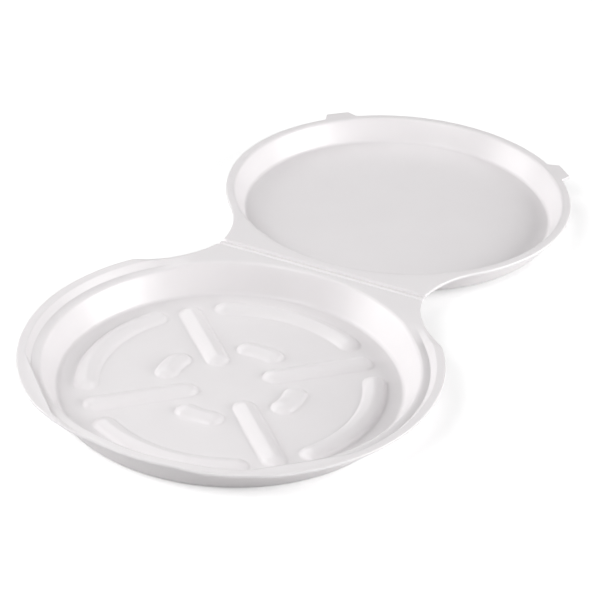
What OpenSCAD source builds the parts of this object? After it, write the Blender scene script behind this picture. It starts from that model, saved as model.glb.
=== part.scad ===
// Round hinged foam plate with a lid, thermoformed from one sheet, lying open.
// The tray stands on z = 0 with its axis on the origin; the hinge runs along X
// on the +Y side of the tray, and the lid lies open beyond it.

/* [Sheet] */
// Thickness of the foam sheet
sheet = 2.2; // [1.6:0.1:3]

/* [Tray] */
// Radius of the tray's mouth, where the wall meets the rim
mouth_r = 107.5; // [95:0.5:120]
// Depth of the tray from the rim down to the floor
tray_depth = 18; // [14:0.5:26]
// How far the tray's wall leans in from mouth to floor
tray_lean = 8.5; // [5:0.5:14]
// Rounding between the floor and the wall, on the inside
floor_round = 4; // [2.5:0.5:8]
// Rounding of the mouth's edge
mouth_round = 2.4; // [1:0.2:3.4]

/* [Tray rim] */
// Width of the plain rim at the front
front_rim_w = 5.5; // [4:0.5:8]
// Width of the ledge that the closed lid lies on, at the sides
ledge_w = 5.2; // [4:0.1:8]
// Height of the step round the ledge
step_rise = 2.4; // [1:0.1:4]
// Horizontal run of the sloping face of the step
step_run = 3.3; // [1.5:0.1:5]
// Width of the flat top of the raised rim
side_rim_w = 5; // [3:0.1:7]
// Angle from the X axis towards the hinge where the raised rim starts to climb
climb_start = 46; // [42:1:48]
// Angle that the climb takes
climb_span = 9; // [6:1:14]
// Angle between the end of a corner pad and the fall at the front end of the raised rim
fall_wait = 2; // [1:0.5:4]
// Angle that the fall takes
fall_span = 10; // [8:1:14]
// Room between the straight edge of a corner pad and the lid
pad_play = 0.2; // [0.1:0.1:0.8]

/* [Floor ribs] */
// Height of the ribs above the floor
rib_h = 3.6; // [2:0.2:5]
// Width of a rib at the floor
rib_w = 14; // [11:0.5:16]
// Width of a rib across its top, before rounding
rib_top_w = 5.6; // [4:0.2:8]
// Rounding of the top edges of a rib
rib_round = 2.2; // [1:0.2:2.6]
// Radius of the plain floor inside the straight ribs
spoke_start_r = 19.5; // [16:0.5:26]
// Distance from the floor's edge to the outer tip of a straight rib
spoke_margin = 13; // [10:0.5:20]
// Distance from the floor's edge to the middle of a long curved rib
long_rib_margin = 17; // [13:0.5:22]
// Half of the angle between the middles of a long curved rib's round ends
long_rib_half = 29.5; // [20:0.5:31]
// Radius of the middle of a short curved rib
short_rib_r = 38; // [34:0.5:44]
// Half of the angle between the middles of a short curved rib's round ends
short_rib_half = 11.5; // [6:0.5:13]

/* [Hinge] */
// Length of the hinge
hinge_len = 136; // [110:1:150]
// Width of the flat web from the tray's mouth to the middle of the hinge
web_w = 7.5; // [6:0.5:14]
// Thickness of the strip between the two score lines
strip_t = 1; // [0.6:0.1:1.4]
// Gap left between the two rims when the lid is closed
fold_gap = 0.4; // [0.3:0.1:1.5]
// Half of the slit at the foot of a score line
score_slit = 0.1; // [0.05:0.05:0.3]

/* [Lid] */
// Depth of the lid from its rim to its floor
lid_depth = 14.5; // [10:0.5:22]
// How far the lid's wall leans in from mouth to floor
lid_lean = 7; // [4:0.5:12]
// Width of the lid's rim
lid_rim_w = 5.5; // [4:0.5:8]
// Room between the lid's rim and the foot of the tray's step
lid_play = 1.9; // [1:0.1:3]
// Angle of each tab from the line through both middles
tab_angle = 45; // [40:1:50]
// How far a tab stands out from the lid's rim
tab_reach = 6.5; // [4:0.5:8]
// Width of a tab at the lid's rim
tab_root_w = 21; // [16:0.5:28]
// Width of a tab at its tip
tab_tip_w = 14; // [10:0.5:15]
// Rounding of a tab's corners
tab_round = 2; // [1:0.5:4]

/* [Hidden] */
$fn = 128;
foam = [0.95, 0.95, 0.95];
arc_steps = 6;
rib_steps = 3;
corner_lap = 8;
over = 1;
reach = 400;
rim_z = tray_depth + sheet;
rim_under_z = rim_z - sheet;
tray_floor_r = mouth_r - tray_lean;
front_rim_r = mouth_r + front_rim_w;
step_foot_r = mouth_r + ledge_w;
step_top_r = step_foot_r + step_run;
side_rim_r = step_top_r + side_rim_w;
lid_rim_r = step_foot_r - lid_play;
lid_mouth_r = lid_rim_r - lid_rim_w;
lid_floor_r = lid_mouth_r - lid_lean;
pad_edge = lid_rim_r + pad_play;
pad_half = acos(pad_edge / step_foot_r);
pad_end = -(tab_angle + pad_half);
fall_end = pad_end - fall_wait - fall_span;
corner_edge = front_rim_r * cos(corner_lap);
corner_end = pad_end - acos(corner_edge / side_rim_r);
hinge_y = mouth_r + web_w;
lid_y = 2 * hinge_y;
hinge_half = hinge_len / 2;
score_half = sheet + fold_gap / 2;
spoke_end_r = tray_floor_r - spoke_margin;
long_rib_r = tray_floor_r - long_rib_margin;

// Points that round the corner b, on the way from a to c, to radius r in steps
function rounded(a, b, c, r, steps = arc_steps) =
    let (u = (a - b) / norm(a - b),
         v = (c - b) / norm(c - b),
         half = acos(u * v) / 2,
         m = (u + v) / norm(u + v),
         o = b + m * r / sin(half),
         p = b + u * r / tan(half) - o,
         side = sign(u.y * v.x - u.x * v.y))
    [for (i = [0:steps])
        let (t = side * (180 - 2 * half) * i / steps)
        o + [p.x * cos(t) - p.y * sin(t), p.x * sin(t) + p.y * cos(t)]];

// Sideways shift between the two faces of a sheet that leans by run over rise
function face_shift(run, rise) = sheet * (norm([run, rise]) - run) / rise;

// Radius of the neck between the hinge's end and a rim of radius r
function neck_r(r) = (pow(hinge_half, 2) + pow(hinge_y, 2) - pow(r, 2)) / (2 * (r - hinge_half));

// Pan of even thickness with a flat floor at z = 0, a leaning wall and a flat rim
module pan(floor_r, pan_mouth_r, rim_r, depth) {
    shift = face_shift(pan_mouth_r - floor_r, depth);
    top = depth + sheet;
    floor_in = [floor_r, sheet];
    mouth_in = [pan_mouth_r, top];
    mouth_out = [pan_mouth_r + shift, depth];
    floor_out = [floor_r + shift, 0];
    rotate_extrude()
        polygon(concat(
            [[0, 0], [0, sheet]],
            rounded([0, sheet], floor_in, mouth_in, floor_round),
            rounded(floor_in, mouth_in, [rim_r, top], mouth_round),
            [[rim_r, top], [rim_r, depth], mouth_out],
            rounded(mouth_out, floor_out, [0, 0], floor_round + sheet)));
}

// Flat web between the rim of radius rim_r and the hinge, with concave necks
module web(rim_r, hole_r) {
    r = neck_r(rim_r);
    translate([0, 0, rim_under_z])
        linear_extrude(sheet)
            difference() {
                polygon([[0, 0], [hinge_half + r, hinge_y], [-hinge_half - r, hinge_y]]);
                for (side = [-1, 1])
                    translate([side * (hinge_half + r), hinge_y]) circle(r);
                circle(hole_r);
            }
}

// Cut that ends a web at its score line, sloping so that the upright strip clears it
module score_cut() {
    edge = hinge_y - score_half - score_slit;
    translate([-reach / 2, 0, 0])
        rotate([90, 0, 90])
            linear_extrude(reach)
                polygon([
                    [edge, rim_under_z - over],
                    [edge, rim_under_z],
                    [edge - sheet - over, rim_z + over],
                    [hinge_y + over, rim_z + over],
                    [hinge_y + over, rim_under_z - over]]);
}

// Everything below a plane that passes through the radial line at angle and
// rises away from it, towards smaller angles if slope is negative
module below_slope(angle, slope) {
    rotate([0, 0, angle])
        rotate([slope, 0, 0])
            translate([-reach / 2, -reach / 2, -reach]) cube(reach);
}

// Filled body under the top face of the raised rim on the +X side, lowered by
// drop, with its faces shifted outwards by shift and its edges grown by grow
module side_rim_fill(drop, shift, grow) {
    climb = atan(step_rise / (side_rim_r * sin(climb_span)));
    fall = atan(step_rise / (side_rim_r * sin(fall_span)));
    neck_angle = atan2(hinge_y, hinge_half + neck_r(side_rim_r));
    start = corner_end - grow;
    span = neck_angle + over + 2 * grow - start;
    inner_r = mouth_r + front_rim_w / 2 - grow;
    foot_z = rim_under_z - 2 * sheet;
    translate([0, 0, -drop])
        intersection() {
            union() {
                rotate([0, 0, start])
                    rotate_extrude(angle = span)
                        polygon([
                            [inner_r, foot_z],
                            [side_rim_r + grow, foot_z],
                            [side_rim_r + grow, rim_z + step_rise],
                            [step_top_r + shift, rim_z + step_rise],
                            [step_foot_r + shift, rim_z],
                            [inner_r, rim_z]]);
                intersection() {
                    translate([0, 0, foot_z])
                        cylinder(h = rim_z + step_rise - foot_z, r = step_top_r + shift + side_rim_w / 2);
                    rotate([0, 0, -tab_angle])
                        translate([pad_edge + (drop > 0 ? sheet : 0), -reach / 2, 0]) cube(reach);
                }
            }
            union() {
                translate([-reach / 2, -reach / 2, rim_z - reach]) cube(reach);
                translate([0, 0, rim_z])
                    intersection() {
                        below_slope(climb_start, -climb);
                        below_slope(fall_end, fall);
                    }
            }
            rotate([0, 0, corner_end])
                translate([-reach / 2, -reach / 2, 0])
                    cube([reach / 2 + corner_edge + grow, reach, reach / 2]);
        }
}

// Raised rim on the +X side, with its step, its two ramps and its corner pad
module side_rim() {
    difference() {
        side_rim_fill(0, 0, 0);
        side_rim_fill(sheet, face_shift(step_run, step_rise), over);
    }
}

// Half of a rib's section, drawn from a plane at height 0, made narrower by inset
function rib_half(inset, root) =
    let (foot = [rib_w / 2 - inset, 0], shoulder = [rib_top_w / 2 - inset, rib_h], crown = [0, rib_h])
    concat([[0, -root], [foot.x, -root], foot], rounded(foot, shoulder, crown, rib_round, rib_steps), [crown]);

module rib_section(inset, root) {
    polygon(rib_half(inset, root));
    mirror([1, 0]) polygon(rib_half(inset, root));
}

// Round end of a rib that points along +X from the origin
module rib_end(inset, root) {
    rotate([0, 0, -90]) rotate_extrude(angle = 180) polygon(rib_half(inset, root));
}

// Straight rib along +X, with its tips at the radii given
module spoke_rib(inset, root) {
    from = spoke_start_r + rib_w / 2;
    to = spoke_end_r - rib_w / 2;
    translate([from, 0, 0]) rotate([90, 0, 90]) linear_extrude(to - from) rib_section(inset, root);
    translate([to, 0, 0]) rib_end(inset, root);
    translate([from, 0, 0]) rotate([0, 0, 180]) rib_end(inset, root);
}

// Rib along an arc of radius r about the origin, with its round ends at half each way
// from +X; its two mirrored halves overlap a little in the middle
module arc_rib(r, half, inset, root) {
    for (side = [0, 1])
        mirror([0, side, 0])
            rotate([0, 0, -half]) {
                rotate_extrude(angle = half + over) translate([r, 0]) rib_section(inset, root);
                translate([r, 0, 0]) rotate([0, 0, -90]) rib_end(inset, root);
            }
}

module all_ribs(inset, root) {
    for (quarter = [0:90:270]) {
        rotate([0, 0, quarter + 45]) spoke_rib(inset, root);
        rotate([0, 0, quarter]) arc_rib(long_rib_r, long_rib_half, inset, root);
        rotate([0, 0, quarter]) arc_rib(short_rib_r, short_rib_half, inset, root);
    }
}

// Tab that stands out along +Y from the lid's rim
module tab() {
    root_y = lid_rim_r - lid_rim_w / 2;
    tip_y = lid_rim_r + tab_reach;
    root = tab_root_w / 2;
    tip = tab_tip_w / 2;
    translate([0, 0, rim_under_z])
        linear_extrude(sheet)
            polygon(concat(
                [[-root, root_y], [root, root_y]],
                rounded([root, root_y], [tip, tip_y], [-tip, tip_y], tab_round),
                rounded([tip, tip_y], [-tip, tip_y], [-root, root_y], tab_round)));
}

// Tray: ribbed floor, leaning wall, stepped rim and the web out to the first score line
module base_tray() {
    rib_inset = face_shift((rib_w - rib_top_w) / 2, rib_h);
    color(foam)
        difference() {
            union() {
                pan(tray_floor_r, mouth_r, front_rim_r, tray_depth);
                web(side_rim_r, front_rim_r - over);
                side_rim();
                mirror([1, 0, 0]) side_rim();
                translate([0, 0, sheet]) all_ribs(0, sheet / 2);
            }
            score_cut();
            all_ribs(rib_inset, over);
        }
}

// Strip between the two score lines, which turns upright as the lid closes
module hinge_strip() {
    foot = score_half - score_slit;
    color(foam)
        translate([-hinge_half, hinge_y, rim_under_z])
            rotate([90, 0, 90])
                linear_extrude(hinge_len)
                    polygon([[-foot, 0], [foot, 0], [foot - strip_t, strip_t], [strip_t - foot, strip_t]]);
}

// Lid: plain pan with two tabs on its far rim and its own half of the web
module lid() {
    color(foam)
        translate([0, lid_y, 0]) {
            mirror([0, 1, 0])
                difference() {
                    union() {
                        translate([0, 0, tray_depth - lid_depth])
                            pan(lid_floor_r, lid_mouth_r, lid_rim_r, lid_depth);
                        web(lid_rim_r, lid_rim_r - lid_rim_w / 2);
                    }
                    score_cut();
                }
            for (side = [-1, 1])
                rotate([0, 0, side * tab_angle]) tab();
        }
}

base_tray();
hinge_strip();
lid();
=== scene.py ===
import math

import bpy
import numpy as np
from mathutils import Matrix, Vector


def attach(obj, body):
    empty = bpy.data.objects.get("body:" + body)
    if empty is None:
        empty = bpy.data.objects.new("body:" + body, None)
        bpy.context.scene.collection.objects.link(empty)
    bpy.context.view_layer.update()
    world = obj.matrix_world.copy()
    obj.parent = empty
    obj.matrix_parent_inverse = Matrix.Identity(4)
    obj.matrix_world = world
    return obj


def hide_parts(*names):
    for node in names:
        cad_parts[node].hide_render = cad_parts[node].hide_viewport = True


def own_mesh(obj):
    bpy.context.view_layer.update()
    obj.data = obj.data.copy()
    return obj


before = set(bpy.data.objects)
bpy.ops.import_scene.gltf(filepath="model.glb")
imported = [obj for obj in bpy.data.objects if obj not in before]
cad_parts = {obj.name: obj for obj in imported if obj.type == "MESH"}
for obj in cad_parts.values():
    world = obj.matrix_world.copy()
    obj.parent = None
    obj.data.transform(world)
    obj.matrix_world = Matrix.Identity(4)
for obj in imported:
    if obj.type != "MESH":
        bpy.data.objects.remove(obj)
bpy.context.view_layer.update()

# Tray: the deeper half of one thermoformed sheet of white polystyrene foam.
# Its floor is stiffened by pressed-up ribs, its wall leans out to a flat rim,
# and the rim steps up at the sides round the ledge that the lid lies on.
SHEET = 0.0022
RIM_Z = 0.0202
MOUTH_R = 0.1075
TRAY_FLOOR_R = 0.0990
FLOOR_ROUND = 0.0028
MOUTH_ROUND = 0.0024
FRONT_RIM_R = 0.1130
SIDE_RIM_R = 0.1210
STEP_FOOT_R = 0.1127
STEP_TOP_R = 0.1160
STEP_RISE = 0.0024
STEP_TOP_SHARE = 0.7  # of the rise; the rim gains the rest on its way out to the edge
LEDGE_SINK = 0.0022
PAD_EDGE = 0.1110  # from the middle to a pad's straight inner edge
PAD_RISER = 0.0008
TAB_ANGLE = math.radians(45)
RAMP_FACING, RAMP_FOOT, RAMP_RUN = math.radians(68.8), 0.1022, 0.0045  # down to the hinge
HINGE_Y = 0.1150
HINGE_HALF = 0.0680
SCORE_Y = HINGE_Y - 0.00243
NECK_MIDDLE, NECK_R = (0.1327, 0.1282), 0.0660
NECK_ALONE = math.radians(45)  # from here on the outline is the neck's curve alone
SHOULDER_ROUND = 0.0030

# Degrees from the X axis, alike at both sides, over which the rim changes on its way round.
RIM_WIDENS = (-80, -50)
STEP_CLIMBS = (-72, -55)
LEDGE_SINKS = (-80, -56)
LEDGE_RETURNS = (50, 38)

# Section of the cut edge and of the score's face: inset and drop from the upper face down.
EDGE_WIDTH = 0.0010
EDGE_INSET = np.array([0.9, 0.4, 0.1, 0.0, 0.0, 0.1, 0.4, 0.9]) * 0.001
EDGE_DROP = np.array([0.0, 0.1, 0.4, 0.85, 1.35, 1.8, 2.1, 2.2]) * 0.001
SCORE_WIDTH = 0.0013
SCORE_INSET = np.array([1.15, 0.85, 0.62, 0.45, 0.3, 0.17, 0.05, 0.0]) * 0.001
SCORE_DROP = np.array([0.0, 0.1, 0.35, 0.75, 1.25, 1.7, 2.05, 2.2]) * 0.001

# Mesh: rays round the middle, steps along the profile, and bands of floor rings, each with its
# first radius, last radius and count, closer where the ribs bend the sheet. The rooms are the
# least that a narrow rim keeps outside the step's foot and top.
TRAY_RAYS = 540
FLOOR_STEPS, WALL_STEPS, MOUTH_STEPS = 5, 6, 7
FLOOR_RINGS = (
    (0.0045, 0.0180, 4), (0.0190, 0.0300, 12), (0.0307, 0.0330, 6), (0.0340, 0.0420, 9),
    (0.0430, 0.0453, 6), (0.0475, 0.0725, 10), (0.0736, 0.0745, 2), (0.0749, 0.0772, 6),
    (0.0780, 0.0860, 10), (0.0868, 0.0893, 6), (0.0905, 0.0965, 4))
STEP_FOOT_ROOM, STEP_TOP_ROOM = 0.0016, 0.0004

# Foam: satin white, faintly clouded, with fine pores
FOAM_DIM = (0.868, 0.840, 0.850, 1.0)
FOAM_BRIGHT = (0.898, 0.874, 0.882, 1.0)
white_foam = bpy.data.materials.new("white_foam")
white_foam.use_nodes = True
foam_tree = white_foam.node_tree
foam_shader = foam_tree.nodes["Principled BSDF"]
foam_place = foam_tree.nodes.new("ShaderNodeTexCoord")
cloud = foam_tree.nodes.new("ShaderNodeTexNoise")
cloud.inputs["Scale"].default_value = 38.0
cloud.inputs["Detail"].default_value = 3.0
tint = foam_tree.nodes.new("ShaderNodeMix")
tint.data_type = "RGBA"
tint.inputs["A"].default_value = FOAM_DIM
tint.inputs["B"].default_value = FOAM_BRIGHT
cells = foam_tree.nodes.new("ShaderNodeTexVoronoi")
cells.inputs["Scale"].default_value = 620.0
pores = foam_tree.nodes.new("ShaderNodeBump")
pores.inputs["Strength"].default_value = 0.06
pores.inputs["Distance"].default_value = 0.0002
foam_tree.links.new(foam_place.outputs["Object"], cloud.inputs["Vector"])
foam_tree.links.new(foam_place.outputs["Object"], cells.inputs["Vector"])
foam_tree.links.new(cloud.outputs["Fac"], tint.inputs["Factor"])
foam_tree.links.new(tint.outputs["Result"], foam_shader.inputs["Base Color"])
foam_tree.links.new(cells.outputs["Distance"], pores.inputs["Height"])
foam_tree.links.new(pores.outputs["Normal"], foam_shader.inputs["Normal"])
foam_shader.inputs["Roughness"].default_value = 0.33
foam_shader.inputs["Subsurface Weight"].default_value = 0.08
foam_shader.inputs["Subsurface Radius"].default_value = (1.0, 1.0, 1.0)
foam_shader.inputs["Subsurface Scale"].default_value = 0.0012


def eased(turn, start, end):
    """Soft step from 0 to 1 as a ray's angle goes from start to end, in degrees."""
    t = np.clip((turn - math.radians(start)) / math.radians(end - start), 0, 1)
    return t * t * (3 - 2 * t)


def rounded(a, b, c, radius, steps):
    """Points that round the corner b, on the way from a to c."""
    a, b, c = (np.array(p, float) for p in (a, b, c))
    u = (a - b) / np.linalg.norm(a - b)
    v = (c - b) / np.linalg.norm(c - b)
    half = math.acos(np.dot(u, v)) / 2
    middle = b + (u + v) / np.linalg.norm(u + v) * radius / math.sin(half)
    start = b + u * radius / math.tan(half) - middle
    sense = np.sign(u[1] * v[0] - u[0] * v[1])
    turns = sense * (math.pi - 2 * half) * np.linspace(0, 1, steps + 1)
    return [middle + (start[0] * math.cos(t) - start[1] * math.sin(t),
                      start[0] * math.sin(t) + start[1] * math.cos(t)) for t in turns]


def pan_profile(floor_r, floor_z, mouth_r, floor_radii):
    """Radius and height of the upper face from the floor to the rim, and each point's share
    of the climb up the wall."""
    floor, mouth, rim = (floor_r, floor_z), (mouth_r, RIM_Z), (SIDE_RIM_R, RIM_Z)
    bend = rounded((0, floor_z), floor, mouth, FLOOR_ROUND, FLOOR_STEPS)
    lip = rounded(floor, mouth, rim, MOUTH_ROUND, MOUTH_STEPS)
    flat = [(r, floor_z) for r in floor_radii]
    climbs = np.linspace(0, 1, WALL_STEPS + 1)[1:-1]
    wall = [bend[-1] + (lip[0] - bend[-1]) * t for t in climbs]
    profile = np.array(flat + bend + wall + lip)
    return profile, np.clip((profile[:, 1] - bend[-1][1]) / (RIM_Z - bend[-1][1]), 0, 1)


def lower_face(profile):
    """The same profile on the under face, one sheet thickness away."""
    along = np.gradient(profile, axis=0)
    along[0], along[-1] = (1, 0), (1, 0)
    along /= np.linalg.norm(along, axis=1)[:, None]
    return profile + SHEET * np.stack([along[:, 1], -along[:, 0]], 1)


def ray_to_neck(turn, middle, radius):
    """Distance to the concave neck beside the hinge, or a long way where a ray misses it."""
    along = middle[0] * np.cos(turn) + middle[1] * np.sin(turn)
    inside = along**2 - (middle[0]**2 + middle[1]**2 - radius**2)
    return np.where(inside > 0, along - np.sqrt(np.maximum(inside, 0)), 1.0)


def ray_to_score(turn, depth):
    """Length of a ray that goes a depth towards the score line. Only the web's rays use it,
    so the angle of the others is held at half a radian."""
    return depth / np.sin(np.maximum(turn, 0.5))


def web_corner(middle, radius):
    """Angle of the corner where a neck meets the score line."""
    return math.atan2(SCORE_Y, middle[0] - math.sqrt(radius**2 - (middle[1] - SCORE_Y)**2))


def fan(count, corner, extra):
    """Even angles, with the nearest ones moved onto both corners of the web, and extra ones.
    Also gives each ray's angle from the X axis, mirrored to the right half, and whether the
    ray ends at the score line."""
    angles = np.linspace(-math.pi / 2, 1.5 * math.pi, count, endpoint=False)
    for at in (corner, math.pi - corner):
        angles[np.argmin(np.abs(angles - at))] = at
    angles = np.unique(np.concatenate([angles, extra]))
    angles = angles[np.concatenate([[True], np.diff(angles) > 1e-4])]
    turn = np.arcsin(np.clip(np.sin(angles), -1, 1))
    return angles, turn, turn > corner - 1e-6


def edge_start(turn, web, outer):
    """Radius at which the upper face ends and the cut edge or the score's face begins."""
    return outer - np.where(web, ray_to_score(turn, SCORE_WIDTH), EDGE_WIDTH)


def sheet_rows(angles, turn, web, profile, climb, sink, outer, keys, lift):
    """Rows of points over the upper face, round the cut edge and back on the under face.
    sink lowers the mouth of each ray, keys are the rim's radii per ray, and lift gives the
    rise of the rim at a radius. The under face keeps every other ring of the floor."""
    ray = np.stack([np.cos(angles), np.sin(angles)], 1)
    upper, lower = [], []
    for k, ((r, z), (low_r, low_z)) in enumerate(zip(profile, lower_face(profile))):
        upper.append((np.full(len(ray), r), z - sink * climb[k]))
        if z > profile[0][1] or k % 2 == 0:
            lower.append((np.full(len(ray), low_r), low_z - sink * climb[k]))
    for radius in keys:
        rise = lift(radius)
        upper.append((radius, RIM_Z + rise))
        lower.append((radius, RIM_Z - SHEET + rise))
    edge = []
    for k in range(len(EDGE_INSET)):
        inset = np.where(web, ray_to_score(turn, SCORE_INSET[k]), EDGE_INSET[k])
        drop = np.where(web, SCORE_DROP[k], EDGE_DROP[k])
        edge.append((outer - inset, RIM_Z + lift(outer - inset) - drop))
    rows = upper + edge + lower[::-1]
    return [np.column_stack([ray * r[:, None], z]) for r, z in rows]


def mesh_object(name, points, faces):
    """Object at the origin, made of the points and faces."""
    mesh = bpy.data.meshes.new(name)
    mesh.from_pydata(points, [], faces)
    mesh.update()
    made = bpy.data.objects.new(name, mesh)
    bpy.context.scene.collection.objects.link(made)
    return made


def sheet_object(name, rows, top, bottom, place):
    """Closed sheet over the rows, with a fan of faces at the middle of each side."""
    count = len(rows[0])
    points = np.vstack(rows + [[(0, 0, top)], [(0, 0, bottom)]])
    here = np.arange(count)
    after = (here + 1) % count
    faces = []
    for k in range(len(rows) - 1):
        a, b = k * count, (k + 1) * count
        faces += np.stack([a + here, b + here, b + after, a + after], 1).tolist()
    last = (len(rows) - 1) * count
    faces += [[len(points) - 2, i, j] for i, j in zip(here, after)]
    faces += [[len(points) - 1, last + j, last + i] for i, j in zip(here, after)]
    points = points @ np.array(place.to_3x3()).T + np.array(place.translation)
    if place.to_3x3().determinant() < 0:
        faces = [face[::-1] for face in faces]
    sheet = mesh_object(name, points.tolist(), faces)
    sheet.data.shade_smooth()
    return sheet


tray_corner = web_corner(NECK_MIDDLE, NECK_R)
tray_angles, tray_turn, tray_web = fan(TRAY_RAYS, tray_corner, [])
tray_neck = ray_to_neck(tray_turn, NECK_MIDDLE, NECK_R)
tray_side = FRONT_RIM_R + (SIDE_RIM_R - FRONT_RIM_R) * eased(tray_turn, *RIM_WIDENS)
shoulder = np.clip(1 - np.abs(tray_side - tray_neck) / SHOULDER_ROUND, 0, 1)
tray_side = np.minimum(tray_side, tray_neck) - SHOULDER_ROUND / 6 * shoulder**3
tray_outer = np.where(tray_turn > NECK_ALONE, tray_neck, tray_side)
tray_outer = np.where(tray_web, ray_to_score(tray_turn, SCORE_Y), tray_outer)
# Length of each ray to a pad's inner edge, held well outside the rim for rays far from a pad
pad_chord = PAD_EDGE / np.maximum(np.cos(tray_turn + TAB_ANGLE), 0.3)
step_share = eased(tray_turn, *STEP_CLIMBS)
ledge_sink = LEDGE_SINK * eased(tray_turn, *LEDGE_RETURNS) * eased(tray_turn, *LEDGE_SINKS)


def tray_lift(radius):
    """Rise of the rim's upper face: the sunk ledge, the step, the corner pads and the ramps."""
    ramp = np.clip((RAMP_FOOT - radius * np.cos(tray_turn - RAMP_FACING)) / RAMP_RUN, 0, 1)
    outward = np.clip((radius - STEP_TOP_R) / (SIDE_RIM_R - STEP_TOP_R), 0, 1)
    climb = STEP_TOP_SHARE + (1 - STEP_TOP_SHARE) * outward
    rise = STEP_RISE * np.minimum(ramp, step_share) * climb
    step = np.clip((radius - STEP_FOOT_R) / (STEP_TOP_R - STEP_FOOT_R), 0, 1)
    pad = np.clip((radius - pad_chord) / PAD_RISER + 0.5, 0, 1)
    return (rise + ledge_sink) * np.maximum(step, pad) - ledge_sink


tray_profile, tray_climb = pan_profile(
    TRAY_FLOOR_R, SHEET, MOUTH_R,
    np.concatenate([np.linspace(first, last, count) for first, last, count in FLOOR_RINGS]))
tray_rim = tray_profile[-1][0]
tray_edge = edge_start(tray_turn, tray_web, tray_outer)
step_foot = np.minimum(np.minimum(STEP_FOOT_R, pad_chord - PAD_RISER / 2),
                       tray_edge - STEP_FOOT_ROOM)
step_top = np.minimum(np.minimum(STEP_TOP_R, pad_chord + PAD_RISER / 2),
                      tray_edge - STEP_TOP_ROOM)
tray_keys = [tray_rim + (step_foot - tray_rim) * t for t in (0.3, 0.6, 0.9, 1.0)]
tray_keys += [step_foot + (step_top - step_foot) * t for t in (0.1, 0.35, 0.65, 0.9, 1.0)]
tray_keys += [step_top + (tray_edge - step_top) * t for t in (0.12, 0.5, 1.0)]
tray = sheet_object(
    "tray_sheet",
    sheet_rows(tray_angles, tray_turn, tray_web, tray_profile, tray_climb, ledge_sink,
               tray_outer, tray_keys, tray_lift),
    SHEET, 0.0, Matrix.Identity(4))

# Ribs: four straight and eight curved ridges pressed up out of the tray's floor
# and hollow below, which stiffen the thin foam and hold the food off it.
# Every quarter of the floor has the same three, with steep flanks and a bowed crown.
RIB_SIZES = {
    "Rib height": 0.0036,
    "Shoulder height": 0.0020,
    "Foot half width": 0.0071,
    "Shoulder half width": 0.0050,
    "Straight rib start": 0.0265,
    "Straight rib end": 0.0790,
    "Long rib radius": 0.0820,
    "Long rib half angle": math.radians(29.5),
    "Short rib radius": 0.0380,
    "Short rib half angle": math.radians(11.5),
}
FOOT_EASE, SHOULDER_EASE = 0.25, 0.40
CROWN_BOW = 1.4
ARC_POINTS = 60

rib_tree = bpy.data.node_groups.new("pressed_ribs", "GeometryNodeTree")
rib_tree.interface.new_socket("Sheet", in_out="INPUT", socket_type="NodeSocketGeometry")
for label in RIB_SIZES:
    rib_tree.interface.new_socket(label, in_out="INPUT", socket_type="NodeSocketFloat")
rib_tree.interface.new_socket("Foam", in_out="INPUT", socket_type="NodeSocketMaterial")
rib_tree.interface.new_socket("Sheet", in_out="OUTPUT", socket_type="NodeSocketGeometry")


def node(kind, **settings):
    """New node of the ribs' tree, with its settings."""
    made = rib_tree.nodes.new(kind)
    for key, value in settings.items():
        setattr(made, key, value)
    return made


def wire(source, target):
    """Link from an output to an input."""
    rib_tree.links.new(source, target)


def vector(**parts):
    """Output of a vector with the given X, Y and Z wired in."""
    made = node("ShaderNodeCombineXYZ")
    for axis, source in parts.items():
        wire(source, made.inputs[axis])
    return made.outputs["Vector"]


def reckon(operation, *terms, **settings):
    """Output of a sum on terms that are either outputs or plain numbers."""
    made = node("ShaderNodeMath", operation=operation, **settings)
    for socket, term in zip(made.inputs, terms):
        if isinstance(term, bpy.types.NodeSocket):
            wire(term, socket)
        else:
            socket.default_value = term
    return made.outputs["Value"]


given = node("NodeGroupInput").outputs

# Centre lines of one quarter
spoke = node("GeometryNodeCurvePrimitiveLine")
wire(vector(X=given["Straight rib start"]), spoke.inputs["Start"])
wire(vector(X=given["Straight rib end"]), spoke.inputs["End"])
slanted = node("GeometryNodeTransform")
slanted.inputs["Rotation"].default_value = (0, 0, TAB_ANGLE)
wire(spoke.outputs["Curve"], slanted.inputs["Geometry"])
quarter = node("GeometryNodeJoinGeometry")
wire(slanted.outputs["Geometry"], quarter.inputs["Geometry"])
for kind in ("Long", "Short"):
    arc = node("GeometryNodeCurveArc", mode="RADIUS")
    arc.inputs["Resolution"].default_value = ARC_POINTS
    half_angle = given[kind + " rib half angle"]
    wire(given[kind + " rib radius"], arc.inputs["Radius"])
    wire(reckon("MULTIPLY", half_angle, -1.0), arc.inputs["Start Angle"])
    wire(reckon("MULTIPLY", half_angle, 2.0), arc.inputs["Sweep Angle"])
    wire(arc.outputs["Curve"], quarter.inputs["Geometry"])

# The quarter's lines, turned four times round the middle
quarters = node("GeometryNodePoints")
quarters.inputs["Count"].default_value = 4
number = node("GeometryNodeInputIndex").outputs["Index"]
pattern = node("GeometryNodeInstanceOnPoints")
wire(quarters.outputs["Points"], pattern.inputs["Points"])
wire(quarter.outputs["Geometry"], pattern.inputs["Instance"])
wire(vector(Z=reckon("MULTIPLY", number, math.pi / 2)), pattern.inputs["Rotation"])
lines = node("GeometryNodeRealizeInstances")
wire(pattern.outputs["Instances"], lines.inputs["Geometry"])
ridge_lines = node("GeometryNodeCurveToMesh")
wire(lines.outputs["Geometry"], ridge_lines.inputs["Curve"])

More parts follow.
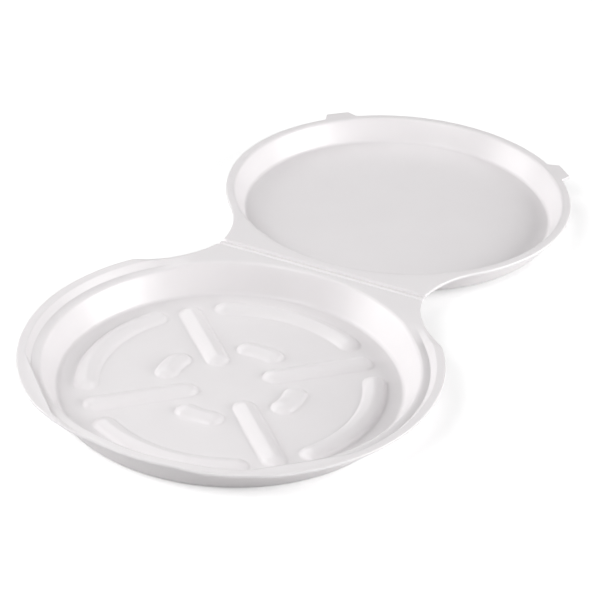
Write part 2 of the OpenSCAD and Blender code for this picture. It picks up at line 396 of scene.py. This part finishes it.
# Distance of each point of the sheet from the nearest line, seen from above
apart = node("ShaderNodeSeparateXYZ")
wire(node("GeometryNodeInputPosition").outputs["Position"], apart.inputs["Vector"])
nearest = node("GeometryNodeProximity", target_element="EDGES")
wire(ridge_lines.outputs["Mesh"], nearest.inputs[0])
wire(vector(X=apart.outputs["X"], Y=apart.outputs["Y"]), nearest.inputs["Sample Position"])
distance = nearest.outputs["Distance"]

# Rise over that distance: a steep flank up to the shoulder, and a bowed crown on it
rib_flank = node("ShaderNodeMapRange", clamp=False)
wire(distance, rib_flank.inputs["Value"])
wire(given["Foot half width"], rib_flank.inputs["From Min"])
wire(given["Shoulder half width"], rib_flank.inputs["From Max"])
eased_foot = reckon("SMOOTH_MAX", rib_flank.outputs["Result"], 0.0, FOOT_EASE)
eased_shoulder = reckon("SMOOTH_MIN", eased_foot, 1.0, SHOULDER_EASE)
flank_rise = reckon("MULTIPLY", eased_shoulder, given["Shoulder height"])
off_ridge = reckon("DIVIDE", distance, given["Shoulder half width"], use_clamp=True)
crown_share = reckon("SUBTRACT", 1.0, reckon("POWER", off_ridge, CROWN_BOW))
crown_height = reckon("SUBTRACT", given["Rib height"], given["Shoulder height"])
crown_rise = reckon("MULTIPLY", crown_share, crown_height)

# The sheet, lifted and made of foam
pressed = node("GeometryNodeSetPosition")
wire(given["Sheet"], pressed.inputs["Geometry"])
wire(vector(Z=reckon("ADD", flank_rise, crown_rise)), pressed.inputs["Offset"])
whole = node("GeometryNodeRealizeInstances")
wire(pressed.outputs["Geometry"], whole.inputs["Geometry"])
coat = node("GeometryNodeSetMaterial")
wire(whole.outputs["Geometry"], coat.inputs["Geometry"])
wire(given["Foam"], coat.inputs["Material"])
wire(coat.outputs["Geometry"], node("NodeGroupOutput").inputs["Sheet"])

ribs = tray.modifiers.new("pressed_ribs", "NODES")
ribs.node_group = rib_tree
for item in rib_tree.interface.items_tree:
    if item.in_out == "INPUT" and item.name in RIB_SIZES:
        ribs[item.identifier] = RIB_SIZES[item.name]
    elif item.in_out == "INPUT" and item.name == "Foam":
        ribs[item.identifier] = white_foam
bpy.context.view_layer.update()
tray.data = bpy.data.meshes.new_from_object(
    tray.evaluated_get(bpy.context.evaluated_depsgraph_get()))
tray.modifiers.remove(ribs)
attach(tray, "base_tray")
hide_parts("base_tray")

# Hinge strip: the band of the same sheet between two crushed score lines.
# Its two halves lie flat, one on each side of the hinge line,
# and both hang on the strip's one body.
STRIP_SECTION = np.array([(2.37, 0.0), (2.2, 0.3), (1.3, 1.7), (1.05, 1.92), (0.75, 2.0),
                          (0.0, 2.0), (0.0, 0.0)]) * 0.001

for name, way, joint in (("hinge_half_tray", -1, "base_fold"), ("hinge_half_lid", 1, "lid_fold")):
    points = [(x, HINGE_Y + way * out, RIM_Z - SHEET + up)
              for x in (-HINGE_HALF, HINGE_HALF) for out, up in STRIP_SECTION]
    corners = len(STRIP_SECTION)
    faces = [[i, (i + 1) % corners, corners + (i + 1) % corners, corners + i]
             for i in range(corners)]
    faces += [list(range(corners - 1, -1, -1)), list(range(corners, 2 * corners))]
    if way < 0:
        faces = [face[::-1] for face in faces]
    strip = mesh_object(name, points, faces)
    strip.data.materials.append(white_foam)
    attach(strip, "hinge_strip")
    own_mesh(strip)
    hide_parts("hinge_strip")

# Lid: the shallower, plain half of the sheet, pressed in the same stroke.
# Two tabs on its far rim lock under the tray's corner pads.
LID_FLOOR_R = 0.0983
LID_MOUTH_R = 0.1053
LID_RIM_R = 0.1108
LID_FLOOR_Z = 0.0057
TAB_TIP, TAB_TIP_HALF = 0.1173, 0.0078
TAB_ROOT, TAB_ROOT_HALF = 0.10805, 0.0125
TAB_REACH = 0.2  # radians from a tab's middle, past which the rim is plain
TAB_SPREAD = 0.13  # radians from a tab's middle that its extra rays cover
LID_RAYS, TAB_RAYS = 420, 95
LID_FLOOR_RINGS = np.linspace(0.007, 0.094, 13)

lid_neck_r = (HINGE_HALF**2 + HINGE_Y**2 - LID_RIM_R**2) / (2 * (LID_RIM_R - HINGE_HALF))
lid_neck = (HINGE_HALF + lid_neck_r, HINGE_Y)
tab_fan = np.linspace(-TAB_SPREAD, TAB_SPREAD, TAB_RAYS)
lid_angles, lid_turn, lid_web = fan(
    LID_RAYS, web_corner(lid_neck, lid_neck_r),
    np.concatenate([tab_fan - TAB_ANGLE, tab_fan + math.pi + TAB_ANGLE]))
off_tab = np.minimum(np.abs(lid_turn + TAB_ANGLE), TAB_REACH)
flare = (TAB_ROOT_HALF - TAB_TIP_HALF) / (TAB_TIP - TAB_ROOT)
tab_flank = (TAB_TIP_HALF + TAB_TIP * flare) / (np.tan(off_tab) + flare)
lid_outer = np.maximum(LID_RIM_R, np.minimum(TAB_TIP, tab_flank) / np.cos(off_tab))
lid_outer = np.where(lid_turn > math.atan2(lid_neck[1], lid_neck[0]),
                     ray_to_neck(lid_turn, lid_neck, lid_neck_r), lid_outer)
lid_outer = np.where(lid_web, ray_to_score(lid_turn, SCORE_Y), lid_outer)
lid_profile, lid_climb = pan_profile(LID_FLOOR_R, LID_FLOOR_Z, LID_MOUTH_R, LID_FLOOR_RINGS)
lid_rim = lid_profile[-1][0]
lid_edge = edge_start(lid_turn, lid_web, lid_outer)
lid_keys = [lid_rim + (lid_edge - lid_rim) * t for t in (0.25, 0.5, 0.75, 1.0)]
level = np.zeros(len(lid_turn))
lid = sheet_object(
    "lid_sheet",
    sheet_rows(lid_angles, lid_turn, lid_web, lid_profile, lid_climb, level,
               lid_outer, lid_keys, lambda radius: level),
    LID_FLOOR_Z, LID_FLOOR_Z - SHEET,
    Matrix.Translation((0, 2 * HINGE_Y, 0)) @ Matrix.Diagonal((1, -1, 1, 1)))
lid.data.materials.append(white_foam)
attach(lid, "lid")
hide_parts("lid")

# Studio: a white floor that keeps the plate's soft shadow, soft boxes low at
# both sides and high at front and back, and the camera at the photograph's angle.
FLOOR_HALF, FLOOR_Z = 6.0, -0.0002
FLOOR_PAINT = (0.8, 0.8, 0.8, 1)
FLOOR_GLOW = 0.42
SKY_LIGHT, SKY_SEEN = 0.10, 1.0
AIM = Vector((0, HINGE_Y, RIM_Z))
LAMP_DISTANCE = 1.6
CAMERA_AZIMUTH, CAMERA_ELEVATION, CAMERA_DISTANCE = 24.39, 29.89, 1.415
CAMERA_ROLL = math.radians(2.929)
SENSOR_WIDTH, FOCAL_LENGTH = 36.0, 142.56
SHIFT_X, SHIFT_Y = -0.0411, -0.0461

floor_paint = bpy.data.materials.new("studio_floor")
floor_paint.use_nodes = True
paint = floor_paint.node_tree
paint.nodes.clear()
matt = paint.nodes.new("ShaderNodeBsdfDiffuse")
matt.inputs["Color"].default_value = FLOOR_PAINT
glow = paint.nodes.new("ShaderNodeEmission")
floor_path = paint.nodes.new("ShaderNodeLightPath")
gain = paint.nodes.new("ShaderNodeMath")
gain.operation = "MULTIPLY"
gain.inputs[1].default_value = FLOOR_GLOW
both = paint.nodes.new("ShaderNodeAddShader")
shown = paint.nodes.new("ShaderNodeOutputMaterial")
paint.links.new(floor_path.outputs["Is Camera Ray"], gain.inputs[0])
paint.links.new(gain.outputs["Value"], glow.inputs["Strength"])
paint.links.new(matt.outputs["BSDF"], both.inputs[0])
paint.links.new(glow.outputs["Emission"], both.inputs[1])
paint.links.new(both.outputs["Shader"], shown.inputs["Surface"])
floor = mesh_object(
    "studio_floor",
    [(x * FLOOR_HALF, y * FLOOR_HALF, FLOOR_Z) for x, y in ((-1, -1), (1, -1), (1, 1), (-1, 1))],
    [(0, 1, 2, 3)])
floor.data.materials.append(floor_paint)

scene = bpy.context.scene
world = bpy.data.worlds.new("studio")
scene.world = world
world.use_nodes = True
sky = world.node_tree.nodes["Background"]
sky.inputs["Color"].default_value = (1, 1, 1, 1)
sky_path = world.node_tree.nodes.new("ShaderNodeLightPath")
brightness = world.node_tree.nodes.new("ShaderNodeMapRange")
brightness.inputs["To Min"].default_value = SKY_LIGHT
brightness.inputs["To Max"].default_value = SKY_SEEN
world.node_tree.links.new(sky_path.outputs["Is Camera Ray"], brightness.inputs["Value"])
world.node_tree.links.new(brightness.outputs["Result"], sky.inputs["Strength"])


def direction(azimuth, elevation):
    """Unit vector from the plate at an azimuth, in degrees from the front, and an elevation."""
    a, e = math.radians(azimuth), math.radians(elevation)
    return Vector((math.sin(a) * math.cos(e), -math.cos(a) * math.cos(e), math.sin(e)))


def soft_box(name, azimuth, elevation, size, power):
    """Square lamp that faces the plate."""
    data = bpy.data.lights.new(name, "AREA")
    data.shape, data.size, data.energy = "SQUARE", size, power
    lamp = bpy.data.objects.new(name, data)
    lamp.location = AIM + LAMP_DISTANCE * direction(azimuth, elevation)
    lamp.rotation_euler = (AIM - lamp.location).to_track_quat("-Z", "Y").to_euler()
    scene.collection.objects.link(lamp)


soft_box("left_box", -70, 20, 1.0, 14.5)
soft_box("right_box", 102, 20, 1.0, 23.5)
soft_box("back_box", -120, 38, 0.9, 5.5)
soft_box("front_box", -15, 45, 0.7, 9.6)

to_camera = direction(CAMERA_AZIMUTH, CAMERA_ELEVATION)
level_right = (-to_camera).cross(Vector((0, 0, 1))).normalized()
level_up = level_right.cross(-to_camera)
camera_right = level_right * math.cos(CAMERA_ROLL) + level_up * math.sin(CAMERA_ROLL)
camera_up = level_up * math.cos(CAMERA_ROLL) - level_right * math.sin(CAMERA_ROLL)
lens = bpy.data.cameras.new("photo_camera")
lens.sensor_width, lens.lens = SENSOR_WIDTH, FOCAL_LENGTH
lens.shift_x, lens.shift_y = SHIFT_X, SHIFT_Y
camera = bpy.data.objects.new("photo_camera", lens)
scene.collection.objects.link(camera)
camera_turn = Matrix((camera_right, camera_up, to_camera)).transposed()
camera.matrix_world = (Matrix.Translation(AIM + to_camera * CAMERA_DISTANCE)
                       @ camera_turn.to_4x4())
scene.camera = camera
scene.view_settings.view_transform = "Standard"
